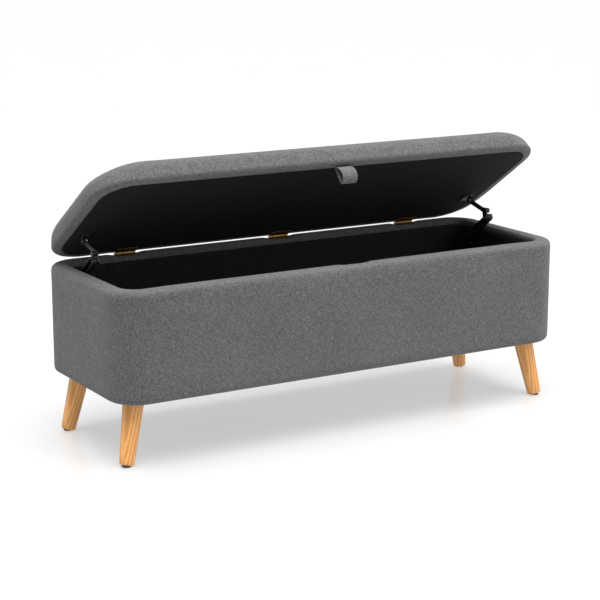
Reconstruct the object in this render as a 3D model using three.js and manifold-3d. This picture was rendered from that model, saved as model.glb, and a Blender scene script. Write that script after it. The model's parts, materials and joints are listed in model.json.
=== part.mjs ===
// Upholstered storage bench: a fabric-covered box on four splayed wooden legs, with a padded
// lid on three butt hinges, two folding lid stays and a fabric pull tab.
// Millimetres. +X runs along the bench, +Y towards its back, +Z up, and the floor is Z = 0.
import * as THREE from "three";
import { mergeVertices } from "three/addons/utils/BufferGeometryUtils.js";
import Module from "manifold-3d";

const wasm = await Module();
wasm.setup();

// ---------------------------------------------------------------- driving dimensions
const LENGTH = 1200;
const DEPTH = 425;
const CORNER_RADIUS = 74;
const BODY_BOTTOM = 147;
const RIM_TOP = 396.5;
const OPEN_ANGLE = THREE.MathUtils.degToRad(33.4); // how far the lid stands open as modelled
const ORIGIN_SHIFT = 8.8; // the open lid's back edge overhangs, so the footprint box is centred here
const GAP = 0.3; // air left between pieces that touch

// The box wall, from the outer face inwards.
const FABRIC = 1.5;
const BOARD_OUTER = 17;
const BOARD_INNER = 37;
const LINING_INNER = 39.7;
const WALL = 40;
const BOTTOM_FILLET = 13;
const RIM_FILLET = 17;
const INNER_FILLET = 9;
const RIM_BAND = 12; // outer fabric that turns down inside the opening
const BOARD_BOTTOM = 151;
const BOARD_TOP = 386.5;
const BASE_THICKNESS = 18;
const FABRIC_RETURN = 34; // outer fabric turned under the box, as an inset

// The lid, measured from the hinge axis with the lid shut.
const HINGE_Y = 202;
const HINGE_Z = 398.7;
const LID_LENGTH = 1196;
const LID_DEPTH = 421;
const LID_RADIUS = 92;
const LID_BACK_EDGE = 11;
const LID_CENTRE_Y = LID_BACK_EDGE - LID_DEPTH / 2;
const LID_LINING_BOTTOM = 2.3;
const LID_COVER_BOTTOM = 3.4;
const LID_TOP = 66.8;
const LID_BOTTOM_FILLET = 9;
const LID_TOP_FILLET = 42;
const LID_PANEL_BOTTOM = 5.2;
const LID_PANEL_TOP = 17.2;
const LID_UNDERSIDE_INSET = 24;

// Legs.
const FOOT_X = 566;
const FOOT_Y = 160;
const SPLAY_X = 0.205; // inward run per unit of height
const SPLAY_Y = 0.124;
const LEG_FOOT_RADIUS = 16.5;
const LEG_TOP_RADIUS = 24.5;
const GLIDE_HEIGHT = 3;
const GLIDE_RADIUS = 10;
const LEG_TOP_Z = 148.4;
const PLATE_BOTTOM = 148.7;
const PLATE_TOP = BOARD_BOTTOM - GAP;
const BOLT_RADIUS = 4;

// Butt hinges.
const HINGE_CENTRES = [-390, 30, 405];
const HINGE_LENGTH = 54;
const KNUCKLES = 5;
const KNUCKLE_RADIUS = 2.8;
const KNUCKLE_BORE = 1.6;
const HINGE_PIN_RADIUS = 1.3;
const LEAF_DEPTH = 24;
const LEAF_NEAR = 0.5; // leaf faces, as distances from the hinge axis
const LEAF_FAR = 1.9;

// Lid stays, each of two arms that fold at an elbow. Y and Z from the hinge axis, as modelled.
const WALL_PIVOT = new THREE.Vector2(-100.7, -29.7);
const ELBOW = new THREE.Vector2(-175.4, 26.7);
const LID_PIVOT_RADIUS = 122.1;
const LID_PIVOT_DROP = THREE.MathUtils.degToRad(4.1); // the pivot's angle below the shut lid
const ARM_HALF_WIDTH = 8.5;
const BRACKET_HALF_WIDTH = 7;
const STAY_PIN_RADIUS = 2.6;
const STAY_BORE = 2.95;
const LID_PIVOT_BORE = 5.4; // loose, so that the arm can shift on its rivet as the lid swings
const RIVET_HEAD = 8;
const KNEE_BOSS_RADIUS = 6.5;

// Pull tab, which swings on its seam. It lies flat between the lid and the rim when the lid is shut.
const TAB_X = 12.5;
const TAB_WIDTH = 40;
const TAB_LENGTH = 43;
const TAB_THICKNESS = 3.2;
const TAB_ROOT = 1.4; // how far the tab reaches back past its pivot
const TAB_PIVOT = new THREE.Vector2(-391.5, 0);
const TAB_LEAN = THREE.MathUtils.degToRad(6.5); // forward of square to the lid

const ARC_STEPS = 3; // per quarter turn of a plan corner; three.js doubles it on arcs
const SIDES = [["left", -1], ["right", 1]];
const ENDS = [["front", -1], ["back", 1]];

// ---------------------------------------------------------------- materials
const material = (color, roughness, metalness = 0) =>
  new THREE.MeshStandardMaterial({ color, roughness, metalness });
const greyFabric = material(0x6e6e70, 0.95);
const blackFabric = material(0x17171a, 0.9);
const foam = material(0xd9d2bf, 0.9);
const board = material(0xb89a6e, 0.8);
const oak = material(0xd9a464, 0.5);
const brass = material(0x8a6a2e, 0.35, 1);
const blackSteel = material(0x1c1c1e, 0.45, 0.8);
const zinc = material(0xa8aaad, 0.4, 1);
const blackPlastic = material(0x2a2622, 0.7);

const bench = new THREE.Group();
const lid = new THREE.Group();
lid.position.set(0, HINGE_Y, HINGE_Z);
lid.rotation.x = -OPEN_ANGLE;
bench.add(lid);

function place(name, geometry, look, parent = bench) {
  const mesh = new THREE.Mesh(geometry, look);
  mesh.name = name;
  parent.add(mesh);
  return mesh;
}

// ---------------------------------------------------------------- solids
function toSolid(geometry) {
  const bare = geometry.index ? geometry.toNonIndexed() : geometry.clone();
  bare.deleteAttribute("normal");
  bare.deleteAttribute("uv");
  const merged = mergeVertices(bare, 1e-3);
  return new wasm.Manifold(
    new wasm.Mesh({
      numProp: 3,
      vertProperties: merged.attributes.position.array,
      triVerts: new Uint32Array(merged.index.array),
    }),
  );
}

function toGeometry(solid) {
  const mesh = solid.getMesh();
  return new THREE.BufferGeometry()
    .setAttribute("position", new THREE.BufferAttribute(mesh.vertProperties, 3))
    .setIndex(new THREE.BufferAttribute(mesh.triVerts, 1));
}

const cut = (geometry, ...tools) =>
  toGeometry(tools.reduce((whole, tool) => whole.subtract(toSolid(tool)), toSolid(geometry)));
const join = (...pieces) => toGeometry(pieces.map(toSolid).reduce((whole, piece) => whole.add(piece)));
const common = (a, b) => toGeometry(toSolid(a).intersect(toSolid(b)));

function boxBetween(x0, x1, y0, y1, z0, z1) {
  return new THREE.BoxGeometry(x1 - x0, y1 - y0, z1 - z0).translate(
    (x0 + x1) / 2, (y0 + y1) / 2, (z0 + z1) / 2,
  );
}

// A cylinder along X between two planes, centred on (y, z).
function rod(radius, x0, x1, y = 0, z = 0, segments = 12) {
  return new THREE.CylinderGeometry(radius, radius, Math.abs(x1 - x0), segments)
    .rotateZ(Math.PI / 2)
    .translate((x0 + x1) / 2, y, z);
}

// ---------------------------------------------------------------- rounded plan outlines
function roundedShape(length, depth, radius) {
  const x = length / 2 - radius;
  const y = depth / 2 - radius;
  const quarter = Math.PI / 2;
  return new THREE.Shape()
    .absarc(x, y, radius, 0, quarter)
    .absarc(-x, y, radius, quarter, 2 * quarter)
    .absarc(-x, -y, radius, 2 * quarter, 3 * quarter)
    .absarc(x, -y, radius, 3 * quarter, 4 * quarter);
}

const planRing = (length, depth, radius) => roundedShape(length, depth, radius).getPoints(ARC_STEPS);
const bodyRing = (inset) => planRing(LENGTH - 2 * inset, DEPTH - 2 * inset, CORNER_RADIUS - inset);
const lidRing = (inset) =>
  planRing(LID_LENGTH - 2 * inset, LID_DEPTH - 2 * inset, Math.max(LID_RADIUS - inset, 6)).map(
    (p) => new THREE.Vector2(p.x, p.y + LID_CENTRE_Y),
  );

// Joins rows of points, all of one length, into a surface. The rows close on themselves.
function skin(rows, triangles) {
  const count = rows[0].length;
  const positions = rows.flat().flatMap((p) => [p.x, p.y, p.z]);
  const index = triangles((row, k) => (row % rows.length) * count + (k % count), count);
  return new THREE.BufferGeometry()
    .setAttribute("position", new THREE.Float32BufferAttribute(positions, 3))
    .setIndex(index);
}

const quad = (a, b, c, d) => [a, b, c, a, c, d];

// A solid stacked from plan outlines, given as [inset, z] from the bottom up.
function stack(ring, layers) {
  const rows = layers.map(([inset, z]) => ring(inset).map((p) => new THREE.Vector3(p.x, p.y, z)));
  return skin(rows, (at, count) => {
    const index = [];
    for (let k = 0; k < count; k++) {
      for (let row = 0; row + 1 < rows.length; row++)
        index.push(...quad(at(row, k), at(row, k + 1), at(row + 1, k + 1), at(row + 1, k)));
      if (k > 0 && k < count - 1) {
        index.push(at(0, 0), at(0, k + 1), at(0, k));
        index.push(at(rows.length - 1, 0), at(rows.length - 1, k), at(rows.length - 1, k + 1));
      }
    }
    return index;
  });
}

// A closed ring whose section is a closed outline of [inset, z] points, outer side going up.
function band(ring, section) {
  const rows = section.map(([inset, z]) => ring(inset).map((p) => new THREE.Vector3(p.x, p.y, z)));
  return skin(rows, (at, count) => {
    const index = [];
    for (let k = 0; k < count; k++)
      for (let row = 0; row < rows.length; row++)
        index.push(...quad(at(row, k), at(row, k + 1), at(row + 1, k + 1), at(row + 1, k)));
    return index;
  });
}

// Points of a quarter turn about [inset, z], from one direction to the next, in degrees,
// where 0 points outwards and 90 up.
function corner(inset, z, radius, from, to, steps = 4) {
  return Array.from({ length: steps + 1 }, (_, k) => {
    const angle = THREE.MathUtils.degToRad(from + ((to - from) * k) / steps);
    return [inset - radius * Math.cos(angle), z + radius * Math.sin(angle)];
  });
}

function extrudeZ(shape, z0, z1) {
  return new THREE.ExtrudeGeometry(shape, {
    depth: z1 - z0, bevelEnabled: false, curveSegments: ARC_STEPS,
  }).translate(0, 0, z0);
}

// Extrudes an outline drawn in Y and Z along X.
function extrudeX(shape, x0, x1, curveSegments = 8) {
  const turn = new THREE.Matrix4().makeBasis(
    new THREE.Vector3(0, 1, 0), new THREE.Vector3(0, 0, 1), new THREE.Vector3(1, 0, 0),
  );
  return new THREE.ExtrudeGeometry(shape, { depth: x1 - x0, bevelEnabled: false, curveSegments })
    .applyMatrix4(turn)
    .translate(x0, 0, 0);
}

// ---------------------------------------------------------------- box walls and base
// The padded wall's surface, offset inwards, from under the box over the rim to the inside.
const wallSurface = (offset, underInset, insideZ, steps) => [
  [underInset, BODY_BOTTOM + offset],
  ...corner(BOTTOM_FILLET, BODY_BOTTOM + BOTTOM_FILLET, BOTTOM_FILLET - offset, -90, 0, steps),
  ...corner(RIM_FILLET, RIM_TOP - RIM_FILLET, RIM_FILLET - offset, 0, 90, steps),
  ...corner(WALL - INNER_FILLET, RIM_TOP - INNER_FILLET, INNER_FILLET - offset, 90, 180, steps),
  [WALL - offset, insideZ],
];

function addBoxUpholstery() {
  const bandEnd = RIM_TOP - RIM_BAND;
  place(
    "box_cover",
    band(bodyRing, [
      ...wallSurface(0, FABRIC_RETURN, bandEnd, 4),
      ...wallSurface(FABRIC, FABRIC_RETURN, bandEnd, 2).reverse(),
    ]),
    greyFabric,
  );
  const foamSkin = FABRIC + GAP;
  place(
    "box_padding",
    band(bodyRing, [
      ...wallSurface(foamSkin, BOARD_OUTER - GAP, BOARD_TOP + GAP, 2),
      [BOARD_OUTER - GAP, BOARD_TOP + GAP],
    ]),
    foam,
  );
  const floorTop = BOARD_BOTTOM + BASE_THICKNESS;
  place(
    "box_lining",
    cut(
      stack(bodyRing, [[BOARD_INNER + GAP, floorTop + GAP], [BOARD_INNER + GAP, bandEnd - GAP]]),
      stack(bodyRing, [[LINING_INNER, floorTop + 2], [LINING_INNER, RIM_TOP]]),
    ),
    blackFabric,
  );
}

function addBoxFrame() {
  const straightX = LENGTH / 2 - CORNER_RADIUS;
  const straightY = DEPTH / 2 - CORNER_RADIUS;
  const outerR = CORNER_RADIUS - BOARD_OUTER;
  const innerR = CORNER_RADIUS - BOARD_INNER;
  for (const [end, sy] of ENDS) {
    const faces = [DEPTH / 2 - BOARD_OUTER, DEPTH / 2 - BOARD_INNER].map((y) => sy * y).sort((a, b) => a - b);
    const half = straightX - GAP;
    place(`${end}_board`, boxBetween(-half, half, ...faces, BOARD_BOTTOM, BOARD_TOP), board);
  }
  for (const [side, sx] of SIDES) {
    const faces = [LENGTH / 2 - BOARD_OUTER, LENGTH / 2 - BOARD_INNER].map((x) => sx * x).sort((a, b) => a - b);
    const half = straightY - GAP;
    place(`${side}_board`, boxBetween(...faces, -half, half, BOARD_BOTTOM, BOARD_TOP), board);
    for (const [end, sy] of ENDS) {
      const start = Math.atan2(sy, sx) - Math.PI / 4;
      const x = sx * straightX;
      const y = sy * straightY;
      const bend = new THREE.Shape()
        .absarc(x, y, outerR, start, start + Math.PI / 2)
        .absarc(x, y, innerR, start + Math.PI / 2, start, true);
      place(`corner_shell_${end}_${side}`, extrudeZ(bend, BOARD_BOTTOM, BOARD_TOP), board);
    }
  }
}

// ---------------------------------------------------------------- legs
// The leg's centre at a height, for the corner with signs sx, sy.
const legCentre = (sx, sy, z) =>
  new THREE.Vector3(sx * (FOOT_X - SPLAY_X * z), sy * (FOOT_Y - SPLAY_Y * z), z);

// A cone or rod along the leg's axis between two heights on that axis.
function alongLeg(sx, sy, z0, z1, r0, r1, segments = 20) {
  const from = legCentre(sx, sy, z0);
  const to = legCentre(sx, sy, z1);
  const direction = to.clone().sub(from);
  const turn = new THREE.Quaternion().setFromUnitVectors(
    new THREE.Vector3(0, 1, 0), direction.clone().normalize(),
  );
  return new THREE.CylinderGeometry(r1, r0, direction.length(), segments)
    .applyQuaternion(turn)
    .translate(...from.add(to).multiplyScalar(0.5).toArray());
}

function addLeg(corner, sx, sy) {
  const bore = BOLT_RADIUS + GAP;
  const boltStart = 112;
  const boltEnd = 164;
  const cone = alongLeg(sx, sy, -20, 170, LEG_FOOT_RADIUS - 1, LEG_TOP_RADIUS + 1.5);
  const trim = 60;
  const centre = legCentre(sx, sy, LEG_TOP_Z / 2);
  const slab = boxBetween(
    centre.x - trim, centre.x + trim, centre.y - trim, centre.y + trim, GLIDE_HEIGHT + GAP, LEG_TOP_Z,
  );
  place(
    `leg_${corner}`,
    cut(common(cone, slab), alongLeg(sx, sy, boltStart - 2, 175, bore, bore, 8)),
    oak,
  );
  place(`leg_bolt_${corner}`, alongLeg(sx, sy, boltStart, boltEnd, BOLT_RADIUS, BOLT_RADIUS, 8), zinc);
  const plateHalf = 26;
  const seat = legCentre(sx, sy, PLATE_BOTTOM);
  const bossRadius = 8;
  const bossFoot = alongLeg(sx, sy, PLATE_BOTTOM - 10, 162, bossRadius, bossRadius, 12);
  const bossTrim = boxBetween(seat.x - 30, seat.x + 30, seat.y - 30, seat.y + 30, PLATE_BOTTOM, 161);
  const plate = boxBetween(
    seat.x - plateHalf, seat.x + plateHalf, seat.y - plateHalf, seat.y + plateHalf, PLATE_BOTTOM, PLATE_TOP,
  );
  place(
    `leg_plate_${corner}`,
    cut(join(plate, common(bossFoot, bossTrim)), alongLeg(sx, sy, 130, 180, bore, bore, 8)),
    zinc,
  );
  const foot = legCentre(sx, sy, 0);
  place(
    `foot_glide_${corner}`,
    new THREE.LatheGeometry(
      [
        [0, 0], [GLIDE_RADIUS - 1, 0], [GLIDE_RADIUS, 1], [GLIDE_RADIUS, GLIDE_HEIGHT], [0, GLIDE_HEIGHT],
      ].map((p) => new THREE.Vector2(...p)),
      16,
    )
      .rotateX(Math.PI / 2)
      .translate(foot.x, foot.y, 0),
    blackPlastic,
  );
}

function addBase() {
  const legs = SIDES.flatMap(([, sx]) => ENDS.map(([, sy]) => [sx, sy]));
  const holes = (radius, z) =>
    legs.map(([sx, sy]) => {
      const centre = legCentre(sx, sy, z);
      const rim = new THREE.EllipseCurve(centre.x, centre.y, radius, radius, 0, 2 * Math.PI, true);
      return new THREE.Path().setFromPoints(rim.getPoints(16).slice(1));
    });
  const floorInset = BOARD_INNER + GAP;
  const floor = roundedShape(LENGTH - 2 * floorInset, DEPTH - 2 * floorInset, CORNER_RADIUS - floorInset);
  floor.holes.push(...holes(13, 156));
  place("base_panel", extrudeZ(floor, BOARD_BOTTOM, BOARD_BOTTOM + BASE_THICKNESS), board);
  const dustInset = 22;
  const dust = roundedShape(LENGTH - 2 * dustInset, DEPTH - 2 * dustInset, CORNER_RADIUS - dustInset);
  dust.holes.push(...holes(LEG_TOP_RADIUS + 2.5, BODY_BOTTOM));
  place("dust_cover", extrudeZ(dust, BODY_BOTTOM - 1.2, BODY_BOTTOM - GAP), blackFabric);
  for (const [side, sx] of SIDES) for (const [end, sy] of ENDS) addLeg(`${end}_${side}`, sx, sy);
}

// ---------------------------------------------------------------- lid
const lidSurface = (offset, steps) => [
  ...corner(
    LID_BOTTOM_FILLET, LID_COVER_BOTTOM + LID_BOTTOM_FILLET, LID_BOTTOM_FILLET - offset, -90, 0, steps,
  ),
  ...corner(LID_TOP_FILLET, LID_TOP - 3 - LID_TOP_FILLET, LID_TOP_FILLET - offset, 0, 90, 2 * steps),
  [80, LID_TOP - 1.2 - offset],
  [150, LID_TOP - offset],
];

function addLid() {
  const opening = 36;
  place(
    "lid_cover",
    cut(
      stack(lidRing, lidSurface(0, 3)),
      stack(lidRing, lidSurface(FABRIC, 2)),
      stack(lidRing, [[opening, 0], [opening, LID_PANEL_BOTTOM]]),
    ),
    greyFabric,
    lid,
  );
  const foamBottom = LID_PANEL_TOP + GAP;
  const foamSkin = FABRIC + GAP;
  place(
    "lid_foam",
    common(
      stack(lidRing, lidSurface(foamSkin, 2)),
      stack(lidRing, [[0, foamBottom], [0, LID_TOP + 5]]),
    ),
    foam,
    lid,
  );
  const panelInset = 17;
  place(
    "lid_panel",
    stack(lidRing, [[panelInset, LID_PANEL_BOTTOM], [panelInset, LID_PANEL_TOP]]),
    board,
    lid,
  );
  place(
    "lid_lining",
    stack(lidRing, [
      [LID_UNDERSIDE_INSET, LID_LINING_BOTTOM],
      [LID_UNDERSIDE_INSET, LID_COVER_BOTTOM - GAP],
    ]),
    blackFabric,
    lid,
  );
}

// A folded strap with a round fold at its tip, drawn in Y and Z about its pivot.
function addPullTab() {
  const half = TAB_THICKNESS / 2;
  const outline = new THREE.Shape()
    .moveTo(half, TAB_ROOT)
    .lineTo(-half, TAB_ROOT)
    .lineTo(-half, half - TAB_LENGTH)
    .absarc(0, half - TAB_LENGTH, half, Math.PI, 2 * Math.PI)
    .closePath();
  const tab = extrudeX(outline, -TAB_WIDTH / 2, TAB_WIDTH / 2, 4);
  const mesh = place("pull_tab", tab, greyFabric, lid);
  mesh.position.set(TAB_X, TAB_PIVOT.x, TAB_PIVOT.y);
  mesh.rotation.x = -TAB_LEAN;
}

// ---------------------------------------------------------------- hinges
// One leaf: a plate on the given side of the axis (-1 below, 1 above) with its own knuckles.
function hingeLeaf(x, own, face) {
  const pitch = HINGE_LENGTH / KNUCKLES;
  const clear = KNUCKLE_RADIUS + 0.5;
  const [z0, z1] = [face * LEAF_NEAR, face * LEAF_FAR].sort((a, b) => a - b);
  const half = HINGE_LENGTH / 2;
  const pieces = [boxBetween(x - half, x + half, -LEAF_DEPTH, -clear, z0, z1)];
  for (let k = own; k < KNUCKLES; k += 2) {
    const x0 = x - half + k * pitch + GAP / 2;
    const x1 = x0 + pitch - GAP;
    pieces.push(boxBetween(x0, x1, -clear - 0.5, -KNUCKLE_BORE, z0, z1), rod(KNUCKLE_RADIUS, x0, x1));
  }
  return cut(join(...pieces), rod(KNUCKLE_BORE, x - HINGE_LENGTH, x + HINGE_LENGTH));
}

function addHinges() {
  ["left", "middle", "right"].forEach((name, k) => {
    const x = HINGE_CENTRES[k];
    place(`hinge_${name}_box_leaf`, hingeLeaf(x, 0, -1), brass).position.set(0, HINGE_Y, HINGE_Z);
    place(`hinge_${name}_lid_leaf`, hingeLeaf(x, 1, 1), brass, lid);
    const half = HINGE_LENGTH / 2 + 0.8;
    place(`hinge_${name}_pin`, rod(HINGE_PIN_RADIUS, x - half, x + half), brass)
      .position.set(0, HINGE_Y, HINGE_Z);
  });
}

// ---------------------------------------------------------------- lid stays
// A strip of constant width with round ends along a run of points, in Y and Z.
function strip(points, halfWidth, x0, x1) {
  const pieces = points.map((p) => rod(halfWidth, x0, x1, p.x, p.y, 16));
  points.slice(1).forEach((b, k) => {
    const a = points[k];
    const run = b.clone().sub(a);
    pieces.push(
      new THREE.BoxGeometry(x1 - x0, run.length(), 2 * halfWidth)
        .rotateX(run.angle())
        .translate((x0 + x1) / 2, (a.x + b.x) / 2, (a.y + b.y) / 2),
    );
  });
  return join(...pieces);
}

const onLid = (radius, angle) => new THREE.Vector2(-radius * Math.cos(angle), radius * Math.sin(angle));

// X positions of the layers, from the box wall inwards, for a stay on the right.
const STAY = {
  bracket: [557.8, 559.8],
  channel: [543.8, 556.8],
  channelWeb: 545.8,
  upper: [538, 541.5],
  boss: [538, 551],
  ear: [542.5, 544.5],
  lidPlate: [520.5, 544.5],
};

function addStay(side, sx) {
  const span = ([a, b]) => [sx * a, sx * b].sort((p, q) => p - q);
  const atHinge = (mesh) => mesh.position.set(0, HINGE_Y, HINGE_Z);
  const lidPivot = onLid(LID_PIVOT_RADIUS, OPEN_ANGLE - LID_PIVOT_DROP);
  const lidPivotShut = onLid(LID_PIVOT_RADIUS, -LID_PIVOT_DROP);
  const bore = ([a, b], at, radius = STAY_BORE) => rod(radius, sx * (a - 5), sx * (b + 5), at.x, at.y);

  const bracketEnds = [[-30, -2], [10, -26], [-22, -24]].map(([y, z]) =>
    WALL_PIVOT.clone().add(new THREE.Vector2(y, z)),
  );
  const bracket = join(
    ...bracketEnds.map((end) => strip([WALL_PIVOT, end], BRACKET_HALF_WIDTH, ...span(STAY.bracket))),
  );
  atHinge(place(`stay_${side}_wall_bracket`, cut(bracket, bore(STAY.bracket, WALL_PIVOT)), blackSteel));

  const channel = strip([WALL_PIVOT, ELBOW], ARM_HALF_WIDTH, ...span(STAY.channel));
  const hollow = strip(
    [WALL_PIVOT, ELBOW], ARM_HALF_WIDTH - 1.6, ...span([STAY.channelWeb, STAY.channel[1] + 5]),
  );
  atHinge(
    place(
      `stay_${side}_lower_arm`,
      cut(channel, hollow, bore(STAY.channel, WALL_PIVOT), bore(STAY.channel, ELBOW)),
      blackSteel,
    ),
  );

  const knee = ELBOW.clone().add(new THREE.Vector2(4, 17));
  const upper = join(
    strip([ELBOW, knee], ARM_HALF_WIDTH, ...span(STAY.upper)),
    rod(KNEE_BOSS_RADIUS, ...span(STAY.boss), knee.x, knee.y, 16),
    strip([knee, lidPivot], 5.5, ...span(STAY.upper)),
    rod(RIVET_HEAD, ...span(STAY.upper), lidPivot.x, lidPivot.y, 16),
  );
  atHinge(
    place(
      `stay_${side}_upper_arm`,
      cut(upper, bore(STAY.upper, ELBOW), bore(STAY.upper, lidPivot, LID_PIVOT_BORE)),
      blackSteel,
    ),
  );

  const plateTop = LID_LINING_BOTTOM - GAP;
  const plateBottom = plateTop - 1.7;
  const plate = boxBetween(
    ...span(STAY.lidPlate), lidPivotShut.x - 18, lidPivotShut.x + 18, plateBottom, plateTop,
  );
  const ear = join(
    rod(7, ...span(STAY.ear), lidPivotShut.x, lidPivotShut.y),
    boxBetween(...span(STAY.ear), lidPivotShut.x - 7, lidPivotShut.x + 7, lidPivotShut.y, plateTop),
  );
  place(
    `stay_${side}_lid_bracket`,
    cut(join(plate, ear), bore(STAY.ear, lidPivotShut)),
    blackSteel,
    lid,
  );

  // Rivets: a shank, a head on the inner side, and a collar where two layers stand apart.
  const rivet = (at, from, to, collar, head = 5) =>
    join(
      rod(STAY_PIN_RADIUS, sx * from, sx * (to - 1), at.x, at.y),
      rod(head, sx * to, sx * (to - 1.8), at.x, at.y, 16),
      rod(4.4, sx * collar[0], sx * collar[1], at.x, at.y),
    );
  atHinge(place(`stay_${side}_wall_rivet`, rivet(WALL_PIVOT, 559.7, 543.5, [546.5, 557.3]), zinc));
  atHinge(place(`stay_${side}_elbow_rivet`, rivet(ELBOW, 547, 537.7, [541.8, 543.5]), zinc));
  place(`stay_${side}_lid_rivet`, rivet(lidPivotShut, 546, 537.7, [541.7, 542.3], RIVET_HEAD), zinc, lid);
}

addBoxUpholstery();
addBoxFrame();
addBase();
addLid();
addPullTab();
addHinges();
for (const [side, sx] of SIDES) addStay(side, sx);
bench.position.y = -ORIGIN_SHIFT;

export default bench;
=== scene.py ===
"""Looks of an upholstered storage bench: fabric covers, linings, pull tab, wooden legs and metalwork.

Everything is in metres. +X runs along the bench, +Y towards its back, +Z up, and the floor is Z = 0.
"""
import json
import math

import bmesh
import bpy
from mathutils import Matrix, Vector, noise


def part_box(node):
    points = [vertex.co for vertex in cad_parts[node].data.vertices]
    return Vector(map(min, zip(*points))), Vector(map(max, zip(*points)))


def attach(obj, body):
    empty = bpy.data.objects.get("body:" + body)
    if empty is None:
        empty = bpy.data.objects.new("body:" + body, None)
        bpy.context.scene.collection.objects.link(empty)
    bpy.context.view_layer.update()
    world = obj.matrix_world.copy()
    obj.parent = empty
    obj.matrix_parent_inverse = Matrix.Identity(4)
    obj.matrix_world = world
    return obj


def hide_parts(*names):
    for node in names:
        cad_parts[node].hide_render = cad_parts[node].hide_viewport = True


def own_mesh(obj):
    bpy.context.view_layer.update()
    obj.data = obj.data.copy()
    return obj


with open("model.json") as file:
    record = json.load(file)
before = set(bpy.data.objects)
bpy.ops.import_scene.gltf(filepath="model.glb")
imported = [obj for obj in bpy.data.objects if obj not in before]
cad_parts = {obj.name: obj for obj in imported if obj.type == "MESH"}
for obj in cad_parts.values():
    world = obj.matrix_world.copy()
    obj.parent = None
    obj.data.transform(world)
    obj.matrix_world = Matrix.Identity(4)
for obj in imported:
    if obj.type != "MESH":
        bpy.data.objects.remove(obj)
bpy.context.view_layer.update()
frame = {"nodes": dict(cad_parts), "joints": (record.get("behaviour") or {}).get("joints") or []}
scene = bpy.context.scene

MM = 0.001
SIDES = {"left": -1, "right": 1}
ENDS = {"front": -1, "back": 1}
CORNERS = {f"{end}_{side}": (sx, sy) for side, sx in SIDES.items() for end, sy in ENDS.items()}

# ---------------------------------------------------------------- places taken from the frame
joints = {joint["name"]: joint for joint in frame["joints"]}
HINGE = Vector(joints["lid_hinge"]["pos_m"])
OPEN_ANGLE = math.radians(-joints["lid_hinge"]["range_deg"][0])
# The lid's own coordinates: the hinge axis is the origin, and Z is square to the lid.
LID = Matrix.Translation(HINGE) @ Matrix.Rotation(-OPEN_ANGLE, 4, "X")


def box_in(node, matrix):
    """Lowest and highest corner of a CAD node in the coordinates that matrix places."""
    inverse = matrix.inverted()
    points = [inverse @ v.co for v in frame["nodes"][node].data.vertices]
    return (
        Vector([min(p[axis] for p in points) for axis in range(3)]),
        Vector([max(p[axis] for p in points) for axis in range(3)]),
    )


# ---------------------------------------------------------------- mesh tools
class Plan:
    """A rounded rectangle seen from above, and the smaller ones inside it, with matching points."""

    def __init__(self, low, high, radius, cell):
        self.half = ((high.x - low.x) / 2, (high.y - low.y) / 2)
        self.centre = ((high.x + low.x) / 2, (high.y + low.y) / 2)
        self.radius = radius
        self.bend = max(2, round(radius * math.pi / 4 / cell))
        self.nx, self.ny = (2 * self.bend + round(2 * (h - radius) / cell) for h in self.half)

    def ring(self, inset, z, softer=0):
        """Points round the outline, anticlockwise from the middle of the front left corner."""
        radius = max(self.radius - inset, 0.5 * MM) + softer
        hx, hy = (h - inset - radius for h in self.half)
        centres = [(-hx, -hy), (hx, -hy), (hx, hy), (-hx, hy)]
        points = []
        for side in range(4):
            turn = side * math.pi / 2
            start, end = centres[side], centres[(side + 1) % 4]
            straight = (self.nx, self.ny)[side % 2] - 2 * self.bend
            steps = [(start, 1.25 + 0.25 * k / self.bend) for k in range(self.bend)]
            for k in range(straight):
                t = k / straight
                between = tuple(a + (b - a) * t for a, b in zip(start, end))
                steps.append((between, 1.5))
            steps += [(end, 1.5 + 0.25 * k / self.bend) for k in range(self.bend)]
            for (x, y), half_turns in steps:
                angle = half_turns * math.pi + turn
                points.append(
                    Vector((
                        self.centre[0] + x + radius * math.cos(angle),
                        self.centre[1] + y + radius * math.sin(angle),
                        z,
                    ))
                )
        return points


def arc(inset, z, radius, start, end, steps):
    """Points of (inset, z) round a centre. Directions are in degrees: 0 outwards, 90 up."""
    angles = [math.radians(start + (end - start) * k / steps) for k in range(steps + 1)]
    return [(inset - radius * math.cos(a), z + radius * math.sin(a)) for a in angles]


def run(start, end, steps):
    """Points of (inset, z) after start, up to and with end."""
    return [
        tuple(a + (b - a) * k / steps for a, b in zip(start, end)) for k in range(1, steps + 1)
    ]


def loft(rows, loop=False):
    """Vertices and faces through rows of points, each of which closes on itself."""
    count = len(rows[0])
    vertices = [p for row in rows for p in row]
    faces = []
    for r in range(len(rows) if loop else len(rows) - 1):
        a, b = r * count, (r + 1) % len(rows) * count
        faces += [(a + k, a + (k + 1) % count, b + (k + 1) % count, b + k) for k in range(count)]
    return vertices, faces


def fill(vertices, faces, start, plan, lift=lambda u, v: 0):
    """Fills the plan's ring of vertices from start with a grid, raised by lift(u, v)."""
    nx, ny = plan.nx, plan.ny
    ring = [start + k for k in range(2 * (nx + ny))] + [start]
    front, right = ring[: nx + 1], ring[nx : nx + ny + 1]
    back, left = ring[nx + ny : 2 * nx + ny + 1][::-1], ring[2 * nx + ny :][::-1]
    at = {}
    for i in range(nx + 1):
        at[i, 0], at[i, ny] = front[i], back[i]
    for j in range(ny + 1):
        at[0, j], at[nx, j] = left[j], right[j]
    for i in range(1, nx):
        for j in range(1, ny):
            u, v = i / nx, j / ny
            point = (
                vertices[front[i]] * (1 - v) + vertices[back[i]] * v
                + vertices[left[j]] * (1 - u) + vertices[right[j]] * u
                - vertices[front[0]] * (1 - u) * (1 - v) - vertices[front[nx]] * u * (1 - v)
                - vertices[back[0]] * (1 - u) * v - vertices[back[nx]] * u * v
            )
            point.z += lift(u, v)
            at[i, j] = len(vertices)
            vertices.append(point)
    faces += [
        (at[i, j], at[i + 1, j], at[i + 1, j + 1], at[i, j + 1]) for i in range(nx) for j in range(ny)
    ]


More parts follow.
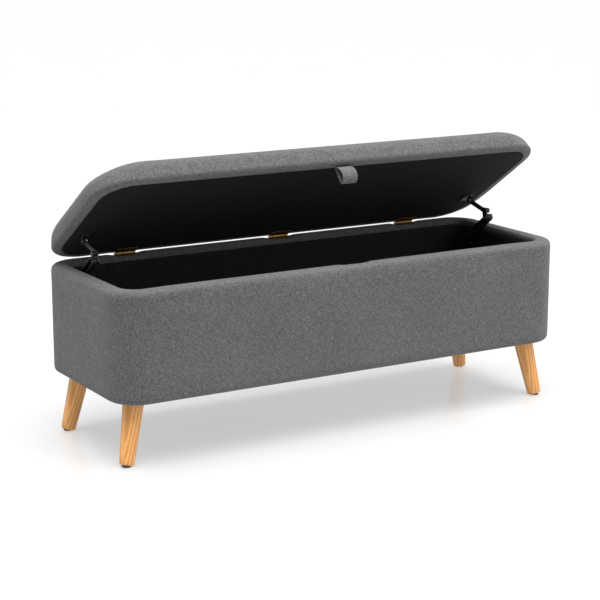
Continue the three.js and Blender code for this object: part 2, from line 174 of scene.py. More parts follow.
def smooth(mesh):
    """Faces outwards, shaded smooth."""
    work = bmesh.new()
    work.from_mesh(mesh)
    bmesh.ops.recalc_face_normals(work, faces=work.faces)
    work.to_mesh(mesh)
    work.free()
    mesh.shade_smooth()


def new_piece(name, vertices, faces, matrix=Matrix.Identity(4)):
    """A new object of these vertices, which are in the coordinates that matrix places."""
    mesh = bpy.data.meshes.new(name)
    mesh.from_pydata([tuple(v) for v in vertices], [], faces)
    smooth(mesh)
    piece = bpy.data.objects.new(name, mesh)
    scene.collection.objects.link(piece)
    piece.matrix_world = matrix
    return piece


def lathe(profile, segments=32):
    """Vertices and faces of a solid turned about Z from (radius, z) points that end on the axis."""
    rows = [
        [
            Vector((r * math.cos(a), r * math.sin(a), z))
            for a in (2 * math.pi * k / segments for k in range(segments))
        ]
        for r, z in profile[1:-1]
    ]
    vertices, faces = loft(rows)
    for (_, z), base in ((profile[0], 0), (profile[-1], (len(rows) - 1) * segments)):
        vertices.append(Vector((0, 0, z)))
        tip = len(vertices) - 1
        faces += [(base + k, base + (k + 1) % segments, tip) for k in range(segments)]
    return vertices, faces


def facing(point, direction):
    """A matrix that puts the origin at point and turns Z to direction."""
    turn = Vector((0, 0, 1)).rotation_difference(Vector(direction)).to_matrix().to_4x4()
    return Matrix.Translation(point) @ turn


def finish_piece(piece, look, body):
    """Gives a piece its material, as its only one, and the body it moves with."""
    piece.data.materials.clear()
    piece.data.materials.append(look)
    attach(piece, body)
    return piece


def subdivide(piece, levels=1):
    modifier = piece.modifiers.new("finer", "SUBSURF")
    modifier.levels = modifier.render_levels = levels


def raise_top(piece, foot, top):
    """Scales the part of a piece's mesh above the height foot so that it ends at the height top."""
    points = [v.co for v in piece.data.vertices]
    scale = (top - foot) / (max(p.z for p in points) - foot)
    for point in points:
        if point.z > foot:
            point.z = foot + (point.z - foot) * scale


def inflate(piece, pressure, limit, held, frames=20):
    """Cloth simulation: the padding pushes the cover out by at most limit.

    held says which vertices stay where they are.
    """
    start = [v.co.copy() for v in piece.data.vertices]
    normals = [v.normal.copy() for v in piece.data.vertices]
    group = piece.vertex_groups.new(name="held")
    group.add([k for k in range(len(start)) if held(k)], 1.0, "REPLACE")
    cloth = piece.modifiers.new("padding", "CLOTH")
    cloth.settings.quality = 6
    cloth.settings.mass = 0.3
    cloth.settings.tension_stiffness = cloth.settings.compression_stiffness = 25
    cloth.settings.shear_stiffness = 15
    cloth.settings.bending_stiffness = 2
    cloth.settings.use_pressure = True
    cloth.settings.uniform_pressure_force = pressure
    cloth.settings.effector_weights.gravity = 0
    cloth.settings.vertex_group_mass = "held"
    cloth.point_cache.frame_end = frames
    for number in range(1, frames + 1):
        scene.frame_set(number)
    shaped = piece.evaluated_get(bpy.context.evaluated_depsgraph_get()).data
    end = [v.co.copy() for v in shaped.vertices]
    piece.modifiers.remove(cloth)
    piece.vertex_groups.remove(group)
    scene.frame_set(1)
    for vertex, normal, a, b in zip(piece.data.vertices, normals, start, end):
        move = b - a
        move -= normal * min(0, move.dot(normal))  # the boards and the foam stop it going inwards
        distance = move.length
        if distance > 0:
            move *= limit * math.tanh(distance / limit) / distance
        vertex.co = a + move


# ---------------------------------------------------------------- material tools
class Look:
    """A Principled material, with a short way to add nodes to it."""

    def __init__(self, name, **constants):
        self.material = bpy.data.materials.new(name)
        self.material.use_nodes = True
        self.tree = self.material.node_tree
        self.shader = self.tree.nodes["Principled BSDF"]
        for socket, value in constants.items():
            self.shader.inputs[socket.replace("_", " ")].default_value = value
        self.object_coords = self.tree.nodes.new("ShaderNodeTexCoord").outputs["Object"]

    def add(self, kind, inputs, **settings):
        """A node of that kind. inputs holds numbers, or sockets to link from, by name or place."""
        node = self.tree.nodes.new(f"ShaderNode{kind}")
        for key, value in settings.items():
            setattr(node, key, value)
        for key, value in inputs.items():
            if isinstance(value, bpy.types.NodeSocket):
                self.tree.links.new(value, node.inputs[key])
            else:
                node.inputs[key].default_value = value
        return node.outputs

    def math(self, operation, a, b=0.0):
        return self.add("Math", {0: a, 1: b}, operation=operation)[0]

    def scaled(self, x, y, z, turn=(0, 0, 0)):
        return self.add("Mapping", {"Vector": self.object_coords, "Scale": (x, y, z), "Rotation": turn})[0]

    def noise(self, coords, scale=1.0, detail=3.0, roughness=0.5, distortion=0.0):
        return self.add(
            "TexNoise",
            {
                "Vector": coords, "Scale": scale, "Detail": detail, "Roughness": roughness,
                "Distortion": distortion,
            },
        )[0]

    def ramp(self, value, *stops):
        """Colours by value, from stops of (place, colour)."""
        outputs = self.add("ValToRGB", {0: value})
        elements = outputs[0].node.color_ramp.elements
        while len(elements) < len(stops):
            elements.new(1)
        for element, (place, colour) in zip(elements, stops):
            element.position = place
            element.color = (*colour, 1)
        return outputs[0]

    def spread(self, value, low, high):
        return self.add("MapRange", {0: value, 1: 0.0, 2: 1.0, 3: low, 4: high})[0]

    def set(self, socket, value):
        self.tree.links.new(value, self.shader.inputs[socket])

    def bump(self, height, strength, distance):
        inputs = {"Height": height, "Strength": strength, "Distance": distance}
        self.set("Normal", self.add("Bump", inputs)[0])


def grey(level):
    return (level, level * 0.995, level * 1.01)


# ---------------------------------------------------------------- materials
def woven(name, dark, mid, light, pitch, bump, streak=1.0, **constants):
    """A plain weave of threads of uneven shade, which runs along all three axes.

    pitch is the distance between threads, and streak is how strong the flecks between them are.
    """
    look = Look(name, **constants)
    across, along = 1 / pitch, 0.15 / pitch
    threads = [
        look.noise(look.scaled(*[along if axis == way else across for axis in range(3)]), 1.0, 2.0)
        for way in range(3)
    ]
    mixed = look.math("ADD", look.math("ADD", threads[0], threads[1]), threads[2])
    flecks = look.noise(look.scaled(0.45 / pitch, 0.45 / pitch, 0.45 / pitch), 1.0, 3.0, 0.7)
    cloudy = look.noise(look.object_coords, 5.0, 2.0)
    shade = look.math("ADD", mixed, look.math("MULTIPLY", flecks, streak))
    shade = look.math("MULTIPLY", shade, 1 / (3 + streak))
    shade = look.math("ADD", shade, look.spread(cloudy, -0.025, 0.025))
    look.set("Base Color", look.ramp(shade, (0.40, dark), (0.5, mid), (0.61, light)))

    place = look.add("SeparateXYZ", {0: look.object_coords})
    waves = [look.math("SINE", look.math("MULTIPLY", place[axis], math.pi / pitch)) for axis in range(3)]
    facing = look.add("SeparateXYZ", {0: look.tree.nodes["Texture Coordinate"].outputs["Normal"]})
    height = 0.5
    for axis in range(3):
        cross = look.math("MULTIPLY", waves[(axis + 1) % 3], waves[(axis + 2) % 3])
        weight = look.math("POWER", look.math("ABSOLUTE", facing[axis]), 3.0)
        height = look.math("ADD", look.math("MULTIPLY", cross, weight), height)
    height = look.math("ADD", height, look.math("MULTIPLY", mixed, 1.2))
    look.bump(height, bump, 0.35 * pitch)
    return look.material


def wood():
    """Pale, honey-coloured wood, with its grain along Z."""
    look = Look("honey_wood", Coat_Weight=0.15, Coat_Roughness=0.35)
    wander = look.noise(look.scaled(9, 9, 2.2), 1.0, 3.0)
    shifted = look.add("VectorMath", {0: look.scaled(1, 1, 0.10), 1: (0.021, 0.009, 0)}, operation="ADD")[0]
    bent = look.add(
        "MixRGB", {0: 0.035, 1: shifted, 2: look.noise(look.scaled(14, 14, 4), 1.0, 2.0)}
    )[0]
    rings = look.add(
        "TexWave", {"Vector": bent, "Scale": 36.0, "Distortion": 3.2, "Detail": 3.0, "Detail Scale": 1.6},
        wave_type="RINGS", rings_direction="Z", wave_profile="SIN",
    )[1]
    fibres = look.noise(look.scaled(900, 900, 22), 1.0, 3.0, 0.6)
    pores = look.noise(look.scaled(1500, 1500, 60), 1.0, 1.0)
    tone = look.math("ADD", look.math("MULTIPLY", rings, 0.30), look.math("MULTIPLY", fibres, 0.50))
    tone = look.math("ADD", tone, look.math("MULTIPLY", wander, 0.30))
    look.set(
        "Base Color",
        look.ramp(
            tone, (0.30, (0.84, 0.44, 0.155)), (0.56, (0.70, 0.325, 0.09)), (0.82, (0.45, 0.17, 0.034)),
        ),
    )
    look.set("Roughness", look.spread(fibres, 0.38, 0.58))
    look.bump(look.math("ADD", fibres, pores), 0.25, 0.3 * MM)
    return look.material


def metal(name, base, worn, roughness, scale=120, **constants):
    """Metal, bare or painted, with blotches, fine scratches and an uneven shine."""
    look = Look(name, **constants)
    blotches = look.noise(look.object_coords, scale, 4.0, 0.6)
    scratches = look.noise(look.scaled(300, 2500, 2500, (0.3, 0.2, 0.5)), 1.0, 2.0)
    look.set("Base Color", look.ramp(blotches, (0.35, base), (0.72, worn)))
    look.set("Roughness", look.spread(look.math("MULTIPLY", blotches, scratches), roughness, roughness + 0.3))
    look.bump(scratches, 0.12, 0.08 * MM)
    return look.material


def moulded():
    look = Look("dark_plastic", Specular_IOR_Level=0.4)
    grain = look.noise(look.object_coords, 1800, 2.0)
    look.set("Base Color", look.ramp(grain, (0.3, (0.05, 0.048, 0.047)), (0.8, (0.09, 0.085, 0.08))))
    look.set("Roughness", look.spread(grain, 0.5, 0.75))
    look.bump(grain, 0.3, 0.1 * MM)
    return look.material


def plywood():
    look = Look("plywood")
    figure = look.noise(look.scaled(3, 60, 60), 1.0, 4.0, 0.6)
    plies = look.add(
        "TexWave", {"Vector": look.object_coords, "Scale": 95.0, "Distortion": 0.3}, bands_direction="Z",
    )[1]
    tone = look.math("ADD", look.math("MULTIPLY", figure, 0.7), look.math("MULTIPLY", plies, 0.3))
    look.set("Base Color", look.ramp(tone, (0.3, (0.62, 0.43, 0.23)), (0.75, (0.40, 0.25, 0.11))))
    look.set("Roughness", look.spread(figure, 0.65, 0.85))
    look.bump(figure, 0.2, 0.3 * MM)
    return look.material


GREY_CLOTH = woven(
    "grey_cloth", grey(0.042), grey(0.088), grey(0.165), 1.4 * MM, 0.5, 1.2,
    Roughness=0.95, Sheen_Weight=0.12, Sheen_Roughness=0.6, Specular_IOR_Level=0.15,
)
BLACK_CLOTH = woven(
    "black_cloth", grey(0.002), grey(0.004), grey(0.009), 1.1 * MM, 0.35, 0.6,
    Roughness=0.9, Sheen_Weight=0.02, Sheen_Roughness=0.5, Specular_IOR_Level=0.12,
)
# Painted light: the same black cloth as the lid's lining, painted lighter so that the inside of the box looks
# brighter than its light makes it.
BLACK_CLOTH_PAINTED_LIGHTER = woven(
    "black_cloth_painted_lighter", grey(0.006), grey(0.013), grey(0.025), 1.1 * MM, 0.35, 0.6,
    Roughness=0.9, Sheen_Weight=0.04, Sheen_Roughness=0.5, Specular_IOR_Level=0.12,
)
DUST_CLOTH = woven(
    "dust_cloth", grey(0.006), grey(0.014), grey(0.03), 0.8 * MM, 0.4, 2.0,
    Roughness=0.95, Specular_IOR_Level=0.15,
)
GREY_THREAD = woven(
    "grey_thread", grey(0.05), grey(0.1), grey(0.18), 0.4 * MM, 0.5, Roughness=0.8, Sheen_Weight=0.2,
)
WOOD = wood()
BRASS = metal("aged_brass", (0.34, 0.22, 0.085), (0.15, 0.095, 0.035), 0.3, Metallic=1.0)
BLACK_STEEL = metal("black_steel", (0.009, 0.009, 0.010), (0.035, 0.024, 0.018), 0.42, Metallic=0.3)
ZINC = metal("zinc_plate", (0.42, 0.42, 0.43), (0.24, 0.235, 0.22), 0.25, 260, Metallic=1.0)
DARK_PLASTIC = moulded()
PLYWOOD = plywood()

# ---------------------------------------------------------------- the box's cover
BODY_LOW, BODY_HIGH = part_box("box_cover")
BODY_RADIUS = 74 * MM
CELL = 10 * MM
PUFF = 1.5 * MM  # how far inside its final surface a cover starts
BAND = 12 * MM  # how far the cover turns down inside the opening
WALL = 40 * MM
BOARD_OUTER = 17 * MM
BOARD_INNER = 37 * MM
CLEARANCE = 0.3 * MM

RIM_PUFF = 4 * MM  # how far the rim stands up between the hinges
HEM_DROP = 2.5 * MM  # how far the cloth bulges under the bottom edge
FOLD_UNDER = 21.5 * MM  # how far in the cloth is turned under the boards
HINGE_DENT = 14 * MM  # how far the dent under a hinge's leaf reaches
TAB_DENT = 26 * MM  # and the one under the pull tab
TAB_LENGTH = 43.3 * MM
TAB_SHUT_HALF = 1.3 * MM  # half the pressed tab's thickness

body_plan = Plan(BODY_LOW, BODY_HIGH, BODY_RADIUS, CELL)


def press_rim(cover, low, high, bottom, reach):
    """Pushes the rim down to the height bottom between two corners, with a soft edge round them."""
    depth = BODY_HIGH.z + RIM_PUFF - bottom
    for vertex in cover.data.vertices:
        point = vertex.co
        away = math.hypot(
            max(low.x - point.x, 0, point.x - high.x), max(low.y - point.y, 0, point.y - high.y)
        )
        ceiling = bottom + depth * min(1, away / reach) ** 2
        if away < reach and point.z > ceiling:
            point.z = ceiling


def make_box_cover():
    bottom, rim = BODY_LOW.z - HEM_DROP, BODY_HIGH.z
    board_bottom, board_top = (corner.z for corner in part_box("front_board"))
    board_bottom -= CLEARANCE
    board_top += CLEARANCE
    hem_radius, rim_radius, inner_radius = 15 * MM, 11 * MM, 7 * MM
    back = BOARD_OUTER - CLEARANCE
    outline = [(FOLD_UNDER, bottom)]
    outline += arc(hem_radius, bottom + hem_radius, hem_radius - PUFF, -90, 0, 4)
    outline += run(outline[-1], (PUFF, rim - rim_radius), 22)
    outline += arc(rim_radius, rim - rim_radius, rim_radius - PUFF, 0, 90, 3)[1:]
    outline += run(outline[-1], (WALL - inner_radius, rim - PUFF), 3)[:-1]
    outline += arc(WALL - inner_radius, rim - inner_radius, inner_radius - PUFF, 90, 180, 3)
    outline += run(outline[-1], (WALL - PUFF, rim - BAND), 2)
    folded = len(outline)
    outline += [(BOARD_INNER + CLEARANCE, rim - BAND), (BOARD_INNER + CLEARANCE, board_top)]
    outline += [(back, board_top)] + run((back, board_top), (back, board_bottom), 12)
    outline += [(FOLD_UNDER, board_bottom)]
    vertices, faces = loft([body_plan.ring(inset, z) for inset, z in outline], loop=True)
    cover = new_piece("box_cover_cloth", vertices, faces)

    count = 2 * (body_plan.nx + body_plan.ny)
    inflate(cover, 3.0, 3 * MM, lambda k: not count <= k < (folded - 1) * count)
    raise_top(cover, board_top, rim + RIM_PUFF)
    for name in ("left", "middle", "right"):
        low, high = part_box(f"hinge_{name}_box_leaf")
        press_rim(cover, low, high, low.z - CLEARANCE, HINGE_DENT)
    low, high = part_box("pull_tab")
    fold = HINGE + LID.inverted() @ Vector(joints["tab_fold"]["pos_m"])  # with the lid shut
    half_width = Vector(((high.x - low.x) / 2, 0, 0))
    tip = fold - Vector((0, TAB_LENGTH, 0))
    press_rim(
        cover, tip - half_width, fold + half_width, fold.z - TAB_SHUT_HALF - CLEARANCE, TAB_DENT,
    )
    subdivide(cover)
    finish_piece(cover, GREY_CLOTH, "box")
    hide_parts("box_cover", "box_padding")


make_box_cover()


# ---------------------------------------------------------------- the linings
def ripple(point, amount, size):
    """A smooth, repeatable displacement, up to about amount."""
    return amount * noise.noise(point / size)


def make_box_lining():
    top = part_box("box_lining")[1].z
    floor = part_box("base_panel")[1].z
    face = WALL - 1.2 * MM
    bend = 10 * MM
    outline = [(BOARD_INNER + 0.6 * MM, top), (face, top)]
    outline += run(outline[-1], (face, floor + bend + MM), 20)
    outline += arc(face + bend, floor + bend + MM, bend, 0, -90, 4)[1:]
    outline += [(face + bend + 12 * MM, floor + MM)]
    rows = [body_plan.ring(inset, z) for inset, z in outline]
    vertices, faces = loft(rows)
    fill(vertices, faces, (len(rows) - 1) * len(rows[0]), body_plan)
    middle = Vector((0, (BODY_LOW.y + BODY_HIGH.y) / 2, 0))
    for point in vertices:
        soft = min(1, (top - point.z) / (30 * MM))
        outwards = Vector((point.x - middle.x, (point.y - middle.y) * 3, 0)).normalized()
        point += outwards * ripple(point + Vector((0, 0, 3)), 0.8 * MM, 0.06) * soft
        if point.z < floor + 2 * MM:
            point.z += abs(ripple(point, 1.4 * MM, 0.11))
    lining = new_piece("box_lining_cloth", vertices, faces)
    thick = lining.modifiers.new("thickness", "SOLIDIFY")
    thick.thickness = 0.8 * MM
    thick.offset = 0
    # The lining takes the black cloth painted lighter, as painted light inside the box.
    finish_piece(lining, BLACK_CLOTH_PAINTED_LIGHTER, "box")
    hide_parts("box_lining")


def make_flat_cloth(name, node, matrix, radius, sag, look, body):
    """A thin cloth panel in a CAD node's place, pulled flat at its edge and slightly loose inside."""
    low, high = box_in(node, matrix)
    plan = Plan(low, high, radius, 14 * MM)
    thickness = (high.z - low.z) * 0.8
    middle = (low.z + high.z) / 2
    rows = [
        plan.ring(inset * MM, middle + side * thickness / 2)
        for inset, side in ((12, 1), (3, 1), (0.6, 0.9), (0, 0), (0.6, -0.9), (3, -1), (12, -1))
    ]
    vertices, faces = loft(rows)
    fill(vertices, faces, 0, plan)
    fill(vertices, faces, (len(rows) - 1) * len(rows[0]), plan)
    for point in vertices:
        edge = min(
            abs(abs(c - m) - h) for c, m, h in zip(point, plan.centre, plan.half)
        )
        loose = min(1, edge / (60 * MM))
        flat = Vector((point.x, point.y, 0))
        point.z -= loose * (sag + ripple(flat, sag, 0.09))
    cloth = new_piece(name, vertices, faces, matrix)
    finish_piece(cloth, look, body)
    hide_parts(node)


make_box_lining()
make_flat_cloth(
    "dust_cover_cloth", "dust_cover", Matrix.Identity(4), 52 * MM, 0.5 * MM, DUST_CLOTH, "box",
)
make_flat_cloth(
    "lid_lining_cloth", "lid_lining", LID, 68 * MM, 0.15 * MM, BLACK_CLOTH, "lid",
)

# ---------------------------------------------------------------- the lid's cover
LID_LOW, LID_HIGH = box_in("lid_cover", LID)
LID_RADIUS = 92 * MM
lid_plan = Plan(LID_LOW, LID_HIGH, LID_RADIUS, CELL)


def make_lid_cover():
    bottom, top = LID_LOW.z, LID_HIGH.z
    bottom_radius, top_radius = 8 * MM, 36 * MM
    shoulder = top - 2.5 * MM
    corner_softness = 42 * MM
    end_lean = 0.012  # how much shorter the lid is at its top
    crown = 3 * MM
    outline = [(22 * MM, bottom), (15 * MM, bottom)]
    outline += arc(bottom_radius, bottom + bottom_radius, bottom_radius - PUFF, -60, 0, 3)
    outline += arc(top_radius, shoulder - top_radius, top_radius - PUFF, 0, 90, 8)
    outline += [(52 * MM, shoulder - PUFF + 0.8 * MM), (62 * MM, shoulder - PUFF + 1.4 * MM)]
    rows = [
        lid_plan.ring(inset, z, corner_softness * max(0, (z - bottom) / (top - bottom)) ** 1.5)
        for inset, z in outline
    ]
    vertices, faces = loft(rows)
    fill(vertices, faces, 0, lid_plan)
    fill(
        vertices, faces, (len(rows) - 1) * len(rows[0]), lid_plan,
        lambda u, v: crown * (1 - (2 * u - 1) ** 4) * (1 - (2 * v - 1) ** 4),
    )
    cover = new_piece("lid_cover_cloth", vertices, faces, LID)
    flat = {k for k, point in enumerate(vertices) if point.z < bottom + 0.1 * MM}
    inflate(cover, 3.0, 3 * MM, flat.__contains__)
    raise_top(cover, top / 2, top + 0.8 * MM)
    for vertex in cover.data.vertices:
        vertex.co.x *= 1 - end_lean * (max(0, vertex.co.z - bottom) / (top - bottom)) ** 2
    subdivide(cover)
    finish_piece(cover, GREY_CLOTH, "lid")
    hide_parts("lid_cover", "lid_foam")


make_lid_cover()


# ---------------------------------------------------------------- the pull tab
def make_pull_tab():
    """A folded loop of cloth with a row of stitches along both edges."""
    fold = joints["tab_fold"]
    shut = math.radians(fold["range_deg"][1])
    low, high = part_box("pull_tab")
    width = high.x - low.x
    # The tab's own coordinates: the fold is the origin, and the tab hangs along -Z.
    place = (
        Matrix.Translation(fold["pos_m"])
        @ Matrix.Rotation(-OPEN_ANGLE - (math.pi / 2 - shut), 4, "X")
    )
    length, cloth = TAB_LENGTH, 1.5 * MM
    seam = 0.8 * MM  # how far each end of the cloth is from the middle of the seam
    bulge = {-1: 20 * MM, 1: 2 * MM}  # how far the loop stands out, to the front and to the back

    def strand(turn):
        """A point of the loop. It leaves the seam at 0, is at the tip at pi, and is back at 2 pi."""
        side = -1 if turn <= math.pi else 1
        out = abs(math.sin(turn)) * math.sqrt(math.sin(turn / 2)) * bulge[side]
        out += seam * abs(math.cos(turn / 2))
        return Vector((0, side * out, -length * (1 - math.cos(turn)) / 2))

    steps, around = 44, 24  # points along the loop, and round the cloth's own section
    path = [Vector((0, -seam, 1.2 * MM))]
    path += [strand(2 * math.pi * k / steps) for k in range(steps + 1)]
    path.append(Vector((0, seam, 1.2 * MM)))
    rows = []
    for k, point in enumerate(path):
        ahead = (path[min(k + 1, len(path) - 1)] - path[max(k - 1, 0)]).normalized()
        normal = Vector((0, -ahead.z, ahead.y))
        section = []
        for j in range(around):
            angle = 2 * math.pi * j / around
            x = math.copysign(abs(math.cos(angle)) ** 0.25, math.cos(angle)) * width / 2
            out = math.copysign(abs(math.sin(angle)) ** 0.5, math.sin(angle)) * cloth / 2
            section.append(point + normal * out + Vector((x, 0, 0)))
        rows.append(section)
    vertices, faces = loft(rows)
    faces += [tuple(range(around)), tuple(range(len(vertices) - around, len(vertices)))]
    tab = new_piece("pull_tab_cloth", vertices, faces, place)
    finish_piece(tab, GREY_CLOTH, "pull_tab")
    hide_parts("pull_tab")

    work = bmesh.new()
    for x in (-1, 1):
        for k in range(3, steps - 2):
            before, here, after = (strand(2 * math.pi * (k + step) / steps) for step in (-0.5, 0, 0.5))
            ahead = (after - before).normalized()
            normal = Vector((0, -ahead.z, ahead.y))
            centre = here + normal * (cloth / 2) + Vector((x * (width / 2 - 4 * MM), 0, 0))
            shape = Matrix.Diagonal((0.45 * MM, 0.3 * MM, 1.0 * MM, 1))
            bmesh.ops.create_uvsphere(
                work, u_segments=8, v_segments=6, radius=1, matrix=facing(centre, ahead) @ shape
            )
    mesh = bpy.data.meshes.new("pull_tab_stitches")
    work.to_mesh(mesh)
    work.free()
    mesh.shade_smooth()
    stitches = bpy.data.objects.new("pull_tab_stitches", mesh)
    scene.collection.objects.link(stitches)
    stitches.matrix_world = place
    finish_piece(stitches, GREY_THREAD, "pull_tab")
    for piece in (tab, stitches):
        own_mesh(piece)


make_pull_tab()


# ---------------------------------------------------------------- legs and glides
SPLAY_X, SPLAY_Y = 0.205, 0.124  # how far a leg leans inwards for each unit of height


def make_leg(corner, sx, sy):
    """A turned leg, level at the top and cut square at the foot, and the pad under it."""
    low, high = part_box(f"leg_{corner}")
    foot_low, foot_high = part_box(f"foot_glide_{corner}")
    foot = (foot_low + foot_high) / 2
    foot_radius, top_radius = 16.5 * MM, 24.5 * MM
    splay = Vector((-SPLAY_X * sx, -SPLAY_Y * sy, 1))
    axis = splay.normalized()
    place = facing((foot.x, foot.y, 0), axis)
    inverse = place.inverted()
    start = low.z + 1.2 * MM  # keeps the lower edge of the square cut off the floor
    length = high.z - start

    def square(x, y):
        """How far a plane that is square to the leg rises at x, y from the leg's middle."""
        return -(splay.x * x + splay.y * y)

    def radius(t):
        return foot_radius + (top_radius - foot_radius) * t

    ease = 1.6 * MM
    profile = [(0, 0), (radius(0) - ease, 0), (radius(0) - 0.4 * ease, 0.25 * ease / length)]
    profile += [(radius(0), ease / length)]
    profile += [(radius(k / 16), k / 16) for k in range(1, 17)]
    profile += [(0, 1)]
    vertices, faces = lathe(profile, 48)
    level = []
    for v in vertices:
        z = start + v.z * length
        middle = Vector((foot.x + splay.x * z, foot.y + splay.y * z, z))
        level.append(inverse @ (middle + Vector((v.x, v.y, square(v.x, v.y) * (1 - v.z)))))
    leg = new_piece(f"leg_{corner}_wood", level, faces, place)
    finish_piece(leg, WOOD, "box")
    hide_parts(f"leg_{corner}")

    radius_out, height = (foot_high.x - foot_low.x) / 2, start - 0.2 * MM
    ease = 0.8 * MM
    profile = [(0, 0), (radius_out - 2 * ease, 0), (radius_out - 0.5 * ease, 0.3 * ease)]
    profile += [(radius_out, ease), (radius_out, height - ease), (radius_out - ease / 2, height), (0, height)]
    vertices, faces = lathe(profile, 40)
    for v in vertices:
        v.z *= 1 + square(v.x, v.y) / height
    glide = new_piece(
        f"foot_glide_{corner}_pad", vertices, faces, Matrix.Translation((foot.x, foot.y, 0))
    )
    finish_piece(glide, DARK_PLASTIC, "box")
    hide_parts(f"foot_glide_{corner}")


for corner, (sx, sy) in CORNERS.items():
    make_leg(corner, sx, sy)


# ---------------------------------------------------------------- screws
def screw_mesh():
    """A low pan head, 6 mm across, with a cross recess, that faces +Z."""
    profile = [(0, -1.5), (2.0, -1.5), (3.0, -0.2), (3.0, 0.0)]
    profile += [(2.75, 0.22), (2.0, 0.42), (1.0, 0.5), (0, 0.52)]
    head, faces = lathe(profile, 24)
    head = new_piece("head", [v * MM for v in head], faces)
    work = bmesh.new()
    for size in ((3.4, 0.6, 1.6), (0.6, 3.4, 1.6)):
        bmesh.ops.create_cube(work, size=MM, matrix=Matrix.Diagonal((*size, 1)))
    cross_mesh = bpy.data.meshes.new("cross")
    work.to_mesh(cross_mesh)
    work.free()
    cross = bpy.data.objects.new("cross", cross_mesh)
    scene.collection.objects.link(cross)
    recess = head.modifiers.new("recess", "BOOLEAN")
    recess.operation = "DIFFERENCE"
    recess.object = cross
    recess.use_self = True
    bpy.context.view_layer.update()
    mesh = bpy.data.meshes.new_from_object(head.evaluated_get(bpy.context.evaluated_depsgraph_get()))
    for spent in (head, cross):
        bpy.data.objects.remove(spent)
    return mesh


SCREW = screw_mesh()


def place_screws(name, spots, body):
    """One object for the screws of a plate. Each spot is a matrix whose Z is the way a head faces."""
    work = bmesh.new()
    for k, spot in enumerate(spots):
        turned = SCREW.copy()
        turned.transform(spot @ Matrix.Rotation(0.7 * k + 0.4, 4, "Z"))
        work.from_mesh(turned)
        bpy.data.meshes.remove(turned)
    mesh = bpy.data.meshes.new(name)
    work.to_mesh(mesh)
    work.free()
    screws = bpy.data.objects.new(name, mesh)
    scene.collection.objects.link(screws)
    finish_piece(screws, ZINC, body)


def add_hinge_screws():
    for name in ("left", "middle", "right"):
        low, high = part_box(f"hinge_{name}_pin")
        centre = (low.x + high.x) / 2
        along = (-18 * MM, 0, 18 * MM)
        depth = (-15 * MM, -19 * MM, -15 * MM)
        face = 0.65 * MM
        box_spots = [
            Matrix.Translation(HINGE) @ facing((centre + x, y, -face), (0, 0, 1))
            for x, y in zip(along, depth)
        ]
        lid_spots = [LID @ facing((centre + x, y, face), (0, 0, -1)) for x, y in zip(along, depth)]
        place_screws(f"hinge_{name}_box_screws", box_spots, "box")
        place_screws(f"hinge_{name}_lid_screws", lid_spots, "lid")


def add_stay_screws():
    for side, sx in SIDES.items():
        low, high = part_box(f"stay_{side}_wall_bracket")
        inner = low.x if sx > 0 else high.x
        wall_spots = [
            facing((inner, low.y + 7 * MM, high.z - 9 * MM), (-sx, 0, 0)),
            facing((inner, low.y + 15 * MM, low.z + 9 * MM), (-sx, 0, 0)),
            facing((inner, high.y - 7 * MM, low.z + 7 * MM), (-sx, 0, 0)),
        ]
        place_screws(f"stay_{side}_wall_screws", wall_spots, "box")
        low, high = box_in(f"stay_{side}_lid_bracket", LID)
        inner = (low.x if sx > 0 else high.x) + sx * 9 * MM
        flange = high.z - 1.7 * MM
        lid_spots = [
            LID @ facing((inner, low.y + 8 * MM, flange), (0, 0, -1)),
            LID @ facing((inner, high.y - 8 * MM, flange), (0, 0, -1)),
        ]
        place_screws(f"stay_{side}_lid_screws", lid_spots, "lid")


add_hinge_screws()
add_stay_screws()


# ---------------------------------------------------------------- CAD pieces that stay
def dress(node, look, edge):
    """Gives a CAD node its material and slightly rounded edges."""
    piece = frame["nodes"][node]
    piece.data.materials.clear()
    piece.data.materials.append(look)
    piece.data.shade_smooth()
    piece.data.set_sharp_from_angle(angle=math.radians(35))
    if edge:
        bevel = piece.modifiers.new("eased edges", "BEVEL")
        bevel.width = edge
        bevel.segments = 2
        bevel.limit_method = "ANGLE"
        bevel.angle_limit = math.radians(35)
        bevel.harden_normals = True


for node in frame["nodes"]:
    if node.startswith("hinge"):
        dress(node, BRASS, 0.25 * MM)
    elif node.endswith("rivet"):
        dress(node, ZINC, 0.4 * MM)
    elif node.startswith("stay"):
        dress(node, BLACK_STEEL, 0.35 * MM)
    elif node.startswith(("leg_bolt", "leg_plate")):
        dress(node, ZINC, 0.3 * MM)
    elif node.endswith(("board", "panel")) or node.startswith("corner_shell"):
        dress(node, PLYWOOD, 0.8 * MM)


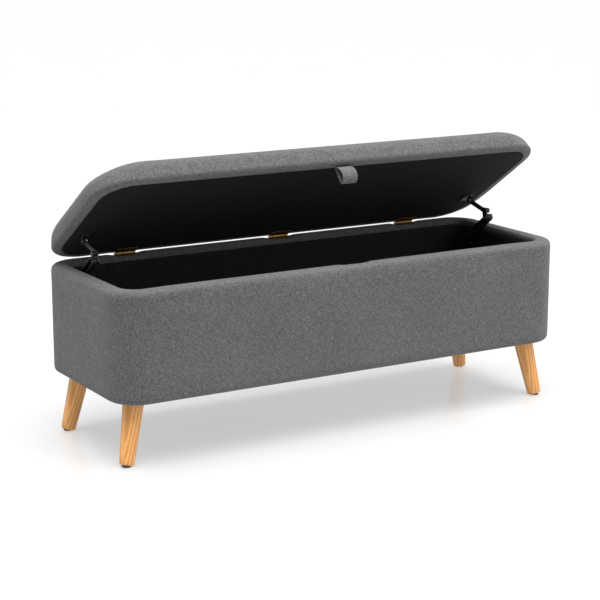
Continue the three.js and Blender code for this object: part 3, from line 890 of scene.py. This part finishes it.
# ---------------------------------------------------------------- floor, light and camera
def floor_look():
    look = Look(
        "floor", Roughness=0.16, Specular_IOR_Level=0.5, Emission_Color=(1, 1, 1, 1), Emission_Strength=0.43
    )
    speckle = look.noise(look.object_coords, 3.0, 2.0)
    look.set("Base Color", look.ramp(speckle, (0.3, (0.31, 0.31, 0.31)), (0.7, (0.33, 0.33, 0.33))))
    return look.material


def area_light(name, place, target, size, power):
    data = bpy.data.lights.new(name, "AREA")
    data.shape = "RECTANGLE"
    data.size, data.size_y = size
    data.energy = power
    light = bpy.data.objects.new(name, data)
    scene.collection.objects.link(light)
    light.location = place
    light.rotation_euler = (Vector(target) - Vector(place)).to_track_quat("-Z", "Y").to_euler()


def make_studio():
    edge = 80
    corners = [(-edge, -edge, 0), (edge, -edge, 0), (edge, edge, 0), (-edge, edge, 0)]
    floor = new_piece("floor", corners, [(0, 1, 2, 3)])
    floor.data.materials.append(floor_look())
    world = bpy.data.worlds.new("studio")
    scene.world = world
    world.use_nodes = True
    background = world.node_tree.nodes["Background"]
    background.inputs["Color"].default_value = (1, 1, 1, 1)
    background.inputs["Strength"].default_value = 0.42
    area_light("key", (1.9, -3.4, 2.4), (0, 0, 0.3), (2.4, 2.0), 45)
    area_light("side", (-3.0, 2.5, 1.8), (0, 0, 0.3), (2.4, 2.0), 12)
    sky = bpy.data.lights.new("sky", "SUN")
    sky.energy = 6.0
    sky.angle = math.radians(60)
    overhead = bpy.data.objects.new("sky", sky)
    scene.collection.objects.link(overhead)
    overhead.rotation_euler = (math.radians(9), 0, 0)
    scene.view_settings.view_transform = "Standard"


def make_camera():
    data = bpy.data.cameras.new("camera")
    data.sensor_width = 36
    data.lens = 104
    camera = bpy.data.objects.new("camera", data)
    scene.collection.objects.link(camera)
    offset = Vector((0, (BODY_LOW.y + BODY_HIGH.y) / 2, 0))
    camera.location = Vector((-2.0982, -3.4715, 1.2052)) + offset
    target = Vector((-0.0266, 0, 0.2811)) + offset
    camera.rotation_euler = (target - camera.location).to_track_quat("-Z", "Y").to_euler()
    scene.camera = camera


make_studio()
make_camera()
